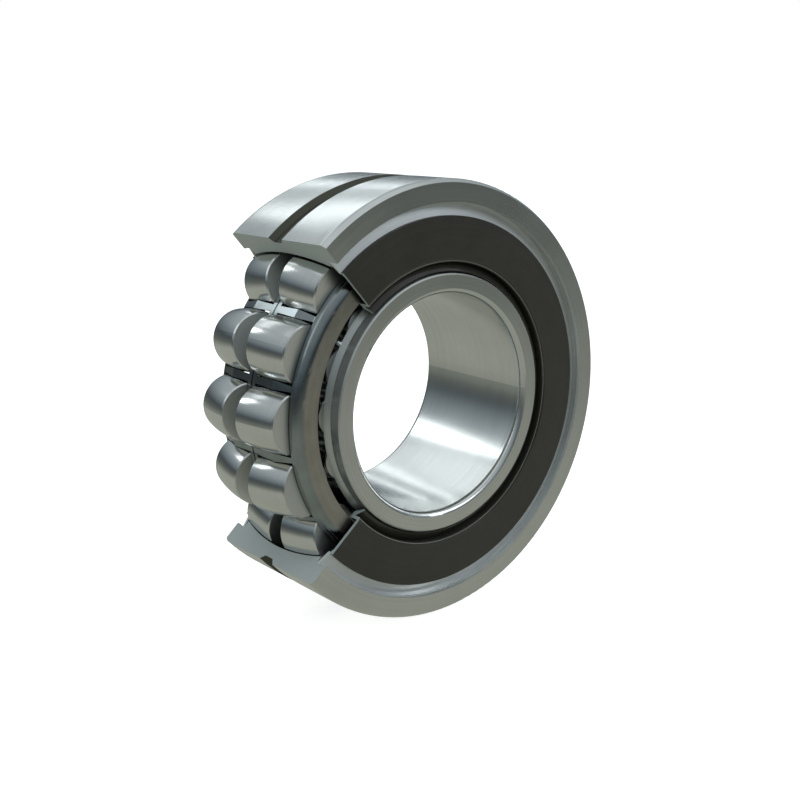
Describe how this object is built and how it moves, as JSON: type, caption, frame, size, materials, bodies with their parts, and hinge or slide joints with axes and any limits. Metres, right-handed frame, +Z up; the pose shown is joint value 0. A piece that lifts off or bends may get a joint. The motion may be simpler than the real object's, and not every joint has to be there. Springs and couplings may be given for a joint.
{
  "type": "spherical roller bearing",
  "caption": "Sealed spherical roller bearing with barrel rollers in window cages and a lubrication groove; a sector of the outer ring and seals is cut away to show the inside.",
  "frame": {"origin": "centre of the bearing: on its axis, midway between its two faces", "axes": "+Y along the bearing's axis, from the front face to the rear face; +Z up; +X to the right seen from the front; the cut-away sector is centred close to -X"},
  "size_m": [0.0765, 0.028, 0.08],
  "materials": {
    "ring_steel": "ground and polished",
    "roller_steel": "polished",
    "cage_steel": "dark pressed sheet",
    "guide_steel": "sintered",
    "retainer_steel": "smooth",
    "seal_steel": "sheet",
    "seal_rubber": "matt"
  },
  "bodies": {
    "outer_ring_and_seals": {"outer_ring": "ring_steel", "front_retaining_ring": "retainer_steel", "rear_retaining_ring": "retainer_steel", "front_seal_plate": "seal_steel", "rear_seal_plate": "seal_steel", "front_seal_rubber": "seal_rubber", "rear_seal_rubber": "seal_rubber"},
    "floating_guide_ring": {"guide_ring": "guide_steel"},
    "inner_ring": {"inner_ring": "ring_steel"},
    "front_cage": {"front_cage": "cage_steel"},
    "rear_cage": {"rear_cage": "cage_steel"},
    "front_roller_01": {"front_roller_01": "roller_steel"},
    "front_roller_02": {"front_roller_02": "roller_steel"},
    "front_roller_03": {"front_roller_03": "roller_steel"},
    "front_roller_04": {"front_roller_04": "roller_steel"},
    "front_roller_05": {"front_roller_05": "roller_steel"},
    "front_roller_06": {"front_roller_06": "roller_steel"},
    "front_roller_07": {"front_roller_07": "roller_steel"},
    "front_roller_08": {"front_roller_08": "roller_steel"},
    "front_roller_09": {"front_roller_09": "roller_steel"},
    "front_roller_10": {"front_roller_10": "roller_steel"},
    "front_roller_11": {"front_roller_11": "roller_steel"},
    "front_roller_12": {"front_roller_12": "roller_steel"},
    "front_roller_13": {"front_roller_13": "roller_steel"},
    "front_roller_14": {"front_roller_14": "roller_steel"},
    "front_roller_15": {"front_roller_15": "roller_steel"},
    "front_roller_16": {"front_roller_16": "roller_steel"},
    "rear_roller_01": {"rear_roller_01": "roller_steel"},
    "rear_roller_02": {"rear_roller_02": "roller_steel"},
    "rear_roller_03": {"rear_roller_03": "roller_steel"},
    "rear_roller_04": {"rear_roller_04": "roller_steel"},
    "rear_roller_05": {"rear_roller_05": "roller_steel"},
    "rear_roller_06": {"rear_roller_06": "roller_steel"},
    "rear_roller_07": {"rear_roller_07": "roller_steel"},
    "rear_roller_08": {"rear_roller_08": "roller_steel"},
    "rear_roller_09": {"rear_roller_09": "roller_steel"},
    "rear_roller_10": {"rear_roller_10": "roller_steel"},
    "rear_roller_11": {"rear_roller_11": "roller_steel"},
    "rear_roller_12": {"rear_roller_12": "roller_steel"},
    "rear_roller_13": {"rear_roller_13": "roller_steel"},
    "rear_roller_14": {"rear_roller_14": "roller_steel"},
    "rear_roller_15": {"rear_roller_15": "roller_steel"},
    "rear_roller_16": {"rear_roller_16": "roller_steel"}
  },
  "joints": [
    {"name": "self_alignment", "type": "hinge", "parent": "outer_ring_and_seals", "child": "floating_guide_ring", "pos_m": [0, 0, 0], "axis": [1, 0, 0], "range_deg": [-0.5, 0.5]},
    {"name": "inner_ring_spin", "type": "hinge", "parent": "floating_guide_ring", "child": "inner_ring", "pos_m": [0, 0, 0], "axis": [0, 1, 0], "continuous": true},
    {"name": "front_cage_spin", "type": "hinge", "parent": "floating_guide_ring", "child": "front_cage", "pos_m": [0, 0, 0], "axis": [0, 1, 0], "continuous": true},
    {"name": "rear_cage_spin", "type": "hinge", "parent": "floating_guide_ring", "child": "rear_cage", "pos_m": [0, 0, 0], "axis": [0, 1, 0], "continuous": true},
    {"name": "front_roller_01_spin", "type": "hinge", "parent": "front_cage", "child": "front_roller_01", "pos_m": [0.03053, -0.00561, -0.00069], "axis": [0.1805, 0.9836, -0.0041], "continuous": true},
    {"name": "front_roller_02_spin", "type": "hinge", "parent": "front_cage", "child": "front_roller_02", "pos_m": [0.02847, -0.00561, 0.01104], "axis": [0.1683, 0.9836, 0.0653], "continuous": true},
    {"name": "front_roller_03_spin", "type": "hinge", "parent": "front_cage", "child": "front_roller_03", "pos_m": [0.02208, -0.00561, 0.0211], "axis": [0.1305, 0.9836, 0.1247], "continuous": true},
    {"name": "front_roller_04_spin", "type": "hinge", "parent": "front_cage", "child": "front_roller_04", "pos_m": [0.01232, -0.00561, 0.02794], "axis": [0.0728, 0.9836, 0.1652], "continuous": true},
    {"name": "front_roller_05_spin", "type": "hinge", "parent": "front_cage", "child": "front_roller_05", "pos_m": [0.00069, -0.00561, 0.03053], "axis": [0.0041, 0.9836, 0.1805], "continuous": true},
    {"name": "front_roller_06_spin", "type": "hinge", "parent": "front_cage", "child": "front_roller_06", "pos_m": [-0.01104, -0.00561, 0.02847], "axis": [-0.0653, 0.9836, 0.1683], "continuous": true},
    {"name": "front_roller_07_spin", "type": "hinge", "parent": "front_cage", "child": "front_roller_07", "pos_m": [-0.0211, -0.00561, 0.02208], "axis": [-0.1247, 0.9836, 0.1305], "continuous": true},
    {"name": "front_roller_08_spin", "type": "hinge", "parent": "front_cage", "child": "front_roller_08", "pos_m": [-0.02794, -0.00561, 0.01232], "axis": [-0.1652, 0.9836, 0.0728], "continuous": true},
    {"name": "front_roller_09_spin", "type": "hinge", "parent": "front_cage", "child": "front_roller_09", "pos_m": [-0.03053, -0.00561, 0.00069], "axis": [-0.1805, 0.9836, 0.0041], "continuous": true},
    {"name": "front_roller_10_spin", "type": "hinge", "parent": "front_cage", "child": "front_roller_10", "pos_m": [-0.02847, -0.00561, -0.01104], "axis": [-0.1683, 0.9836, -0.0653], "continuous": true},
    {"name": "front_roller_11_spin", "type": "hinge", "parent": "front_cage", "child": "front_roller_11", "pos_m": [-0.02208, -0.00561, -0.0211], "axis": [-0.1305, 0.9836, -0.1247], "continuous": true},
    {"name": "front_roller_12_spin", "type": "hinge", "parent": "front_cage", "child": "front_roller_12", "pos_m": [-0.01232, -0.00561, -0.02794], "axis": [-0.0728, 0.9836, -0.1652], "continuous": true},
    {"name": "front_roller_13_spin", "type": "hinge", "parent": "front_cage", "child": "front_roller_13", "pos_m": [-0.00069, -0.00561, -0.03053], "axis": [-0.0041, 0.9836, -0.1805], "continuous": true},
    {"name": "front_roller_14_spin", "type": "hinge", "parent": "front_cage", "child": "front_roller_14", "pos_m": [0.01104, -0.00561, -0.02847], "axis": [0.0653, 0.9836, -0.1683], "continuous": true},
    {"name": "front_roller_15_spin", "type": "hinge", "parent": "front_cage", "child": "front_roller_15", "pos_m": [0.0211, -0.00561, -0.02208], "axis": [0.1247, 0.9836, -0.1305], "continuous": true},
    {"name": "front_roller_16_spin", "type": "hinge", "parent": "front_cage", "child": "front_roller_16", "pos_m": [0.02794, -0.00561, -0.01232], "axis": [0.1652, 0.9836, -0.0728], "continuous": true},
    {"name": "rear_roller_01_spin", "type": "hinge", "parent": "rear_cage", "child": "rear_roller_01", "pos_m": [0.03053, 0.00561, -0.00069], "axis": [-0.1805, 0.9836, 0.0041], "continuous": true},
    {"name": "rear_roller_02_spin", "type": "hinge", "parent": "rear_cage", "child": "rear_roller_02", "pos_m": [0.02847, 0.00561, 0.01104], "axis": [-0.1683, 0.9836, -0.0653], "continuous": true},
    {"name": "rear_roller_03_spin", "type": "hinge", "parent": "rear_cage", "child": "rear_roller_03", "pos_m": [0.02208, 0.00561, 0.0211], "axis": [-0.1305, 0.9836, -0.1247], "continuous": true},
    {"name": "rear_roller_04_spin", "type": "hinge", "parent": "rear_cage", "child": "rear_roller_04", "pos_m": [0.01232, 0.00561, 0.02794], "axis": [-0.0728, 0.9836, -0.1652], "continuous": true},
    {"name": "rear_roller_05_spin", "type": "hinge", "parent": "rear_cage", "child": "rear_roller_05", "pos_m": [0.00069, 0.00561, 0.03053], "axis": [-0.0041, 0.9836, -0.1805], "continuous": true},
    {"name": "rear_roller_06_spin", "type": "hinge", "parent": "rear_cage", "child": "rear_roller_06", "pos_m": [-0.01104, 0.00561, 0.02847], "axis": [0.0653, 0.9836, -0.1683], "continuous": true},
    {"name": "rear_roller_07_spin", "type": "hinge", "parent": "rear_cage", "child": "rear_roller_07", "pos_m": [-0.0211, 0.00561, 0.02208], "axis": [0.1247, 0.9836, -0.1305], "continuous": true},
    {"name": "rear_roller_08_spin", "type": "hinge", "parent": "rear_cage", "child": "rear_roller_08", "pos_m": [-0.02794, 0.00561, 0.01232], "axis": [0.1652, 0.9836, -0.0728], "continuous": true},
    {"name": "rear_roller_09_spin", "type": "hinge", "parent": "rear_cage", "child": "rear_roller_09", "pos_m": [-0.03053, 0.00561, 0.00069], "axis": [0.1805, 0.9836, -0.0041], "continuous": true},
    {"name": "rear_roller_10_spin", "type": "hinge", "parent": "rear_cage", "child": "rear_roller_10", "pos_m": [-0.02847, 0.00561, -0.01104], "axis": [0.1683, 0.9836, 0.0653], "continuous": true},
    {"name": "rear_roller_11_spin", "type": "hinge", "parent": "rear_cage", "child": "rear_roller_11", "pos_m": [-0.02208, 0.00561, -0.0211], "axis": [0.1305, 0.9836, 0.1247], "continuous": true},
    {"name": "rear_roller_12_spin", "type": "hinge", "parent": "rear_cage", "child": "rear_roller_12", "pos_m": [-0.01232, 0.00561, -0.02794], "axis": [0.0728, 0.9836, 0.1652], "continuous": true},
    {"name": "rear_roller_13_spin", "type": "hinge", "parent": "rear_cage", "child": "rear_roller_13", "pos_m": [-0.00069, 0.00561, -0.03053], "axis": [0.0041, 0.9836, 0.1805], "continuous": true},
    {"name": "rear_roller_14_spin", "type": "hinge", "parent": "rear_cage", "child": "rear_roller_14", "pos_m": [0.01104, 0.00561, -0.02847], "axis": [-0.0653, 0.9836, 0.1683], "continuous": true},
    {"name": "rear_roller_15_spin", "type": "hinge", "parent": "rear_cage", "child": "rear_roller_15", "pos_m": [0.0211, 0.00561, -0.02208], "axis": [-0.1247, 0.9836, 0.1305], "continuous": true},
    {"name": "rear_roller_16_spin", "type": "hinge", "parent": "rear_cage", "child": "rear_roller_16", "pos_m": [0.02794, 0.00561, -0.01232], "axis": [-0.1652, 0.9836, 0.0728], "continuous": true}
  ],
  "couplings": [
    {"joint": "front_cage_spin", "follows": "inner_ring_spin", "ratio": 0.41063},
    {"joint": "rear_cage_spin", "follows": "inner_ring_spin", "ratio": 0.41063},
    {"joint": "front_roller_01_spin", "follows": "inner_ring_spin", "ratio": -2.6634},
    {"joint": "front_roller_02_spin", "follows": "inner_ring_spin", "ratio": -2.6634},
    {"joint": "front_roller_03_spin", "follows": "inner_ring_spin", "ratio": -2.6634},
    {"joint": "front_roller_04_spin", "follows": "inner_ring_spin", "ratio": -2.6634},
    {"joint": "front_roller_05_spin", "follows": "inner_ring_spin", "ratio": -2.6634},
    {"joint": "front_roller_06_spin", "follows": "inner_ring_spin", "ratio": -2.6634},
    {"joint": "front_roller_07_spin", "follows": "inner_ring_spin", "ratio": -2.6634},
    {"joint": "front_roller_08_spin", "follows": "inner_ring_spin", "ratio": -2.6634},
    {"joint": "front_roller_09_spin", "follows": "inner_ring_spin", "ratio": -2.6634},
    {"joint": "front_roller_10_spin", "follows": "inner_ring_spin", "ratio": -2.6634},
    {"joint": "front_roller_11_spin", "follows": "inner_ring_spin", "ratio": -2.6634},
    {"joint": "front_roller_12_spin", "follows": "inner_ring_spin", "ratio": -2.6634},
    {"joint": "front_roller_13_spin", "follows": "inner_ring_spin", "ratio": -2.6634},
    {"joint": "front_roller_14_spin", "follows": "inner_ring_spin", "ratio": -2.6634},
    {"joint": "front_roller_15_spin", "follows": "inner_ring_spin", "ratio": -2.6634},
    {"joint": "front_roller_16_spin", "follows": "inner_ring_spin", "ratio": -2.6634},
    {"joint": "rear_roller_01_spin", "follows": "inner_ring_spin", "ratio": -2.6634},
    {"joint": "rear_roller_02_spin", "follows": "inner_ring_spin", "ratio": -2.6634},
    {"joint": "rear_roller_03_spin", "follows": "inner_ring_spin", "ratio": -2.6634},
    {"joint": "rear_roller_04_spin", "follows": "inner_ring_spin", "ratio": -2.6634},
    {"joint": "rear_roller_05_spin", "follows": "inner_ring_spin", "ratio": -2.6634},
    {"joint": "rear_roller_06_spin", "follows": "inner_ring_spin", "ratio": -2.6634},
    {"joint": "rear_roller_07_spin", "follows": "inner_ring_spin", "ratio": -2.6634},
    {"joint": "rear_roller_08_spin", "follows": "inner_ring_spin", "ratio": -2.6634},
    {"joint": "rear_roller_09_spin", "follows": "inner_ring_spin", "ratio": -2.6634},
    {"joint": "rear_roller_10_spin", "follows": "inner_ring_spin", "ratio": -2.6634},
    {"joint": "rear_roller_11_spin", "follows": "inner_ring_spin", "ratio": -2.6634},
    {"joint": "rear_roller_12_spin", "follows": "inner_ring_spin", "ratio": -2.6634},
    {"joint": "rear_roller_13_spin", "follows": "inner_ring_spin", "ratio": -2.6634},
    {"joint": "rear_roller_14_spin", "follows": "inner_ring_spin", "ratio": -2.6634},
    {"joint": "rear_roller_15_spin", "follows": "inner_ring_spin", "ratio": -2.6634},
    {"joint": "rear_roller_16_spin", "follows": "inner_ring_spin", "ratio": -2.6634}
  ]
}
